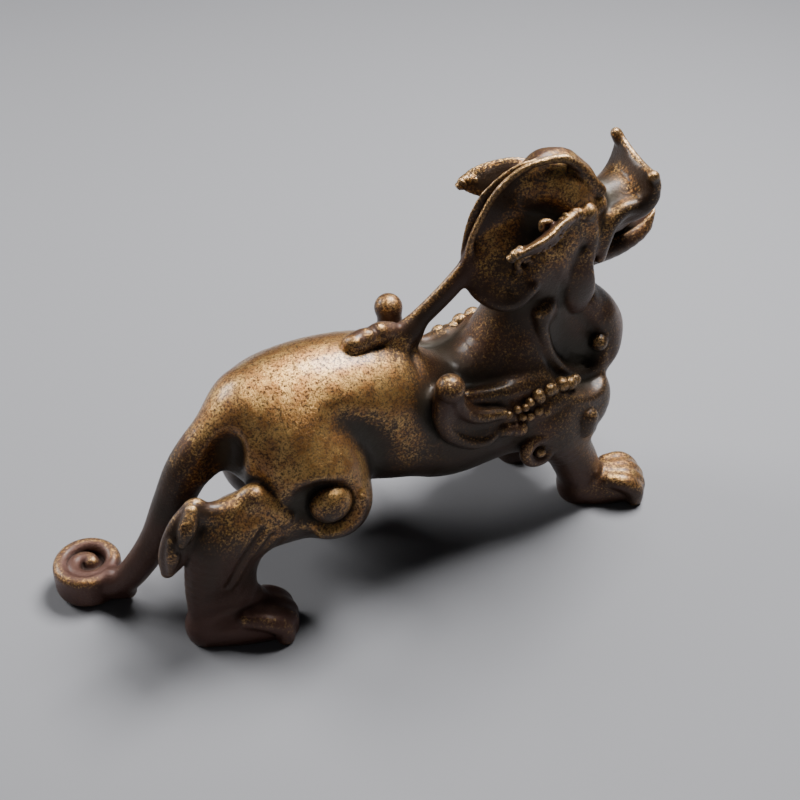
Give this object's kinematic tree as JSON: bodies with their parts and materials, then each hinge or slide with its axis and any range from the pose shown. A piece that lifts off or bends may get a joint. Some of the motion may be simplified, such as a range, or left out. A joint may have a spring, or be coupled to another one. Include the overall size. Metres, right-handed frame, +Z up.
{
  "type": "pixiu figure",
  "caption": "Small solid-cast bronze pixiu, a winged lion striding with raised head, curled tail and a crest strap to its back; stands on its paws.",
  "frame": {"origin": "on the ground under the middle of the figure's bounding box", "axes": "+X to the head, +Y to the figure's left flank, +Z up"},
  "size_m": [0.085, 0.0332, 0.056],
  "materials": {
    "bronze": "dark brown patinated cast bronze with worn golden edges and a fine black and gold speckle"
  },
  "bodies": {
    "root": {"pixiu": "bronze"}
  },
  "joints": []
}
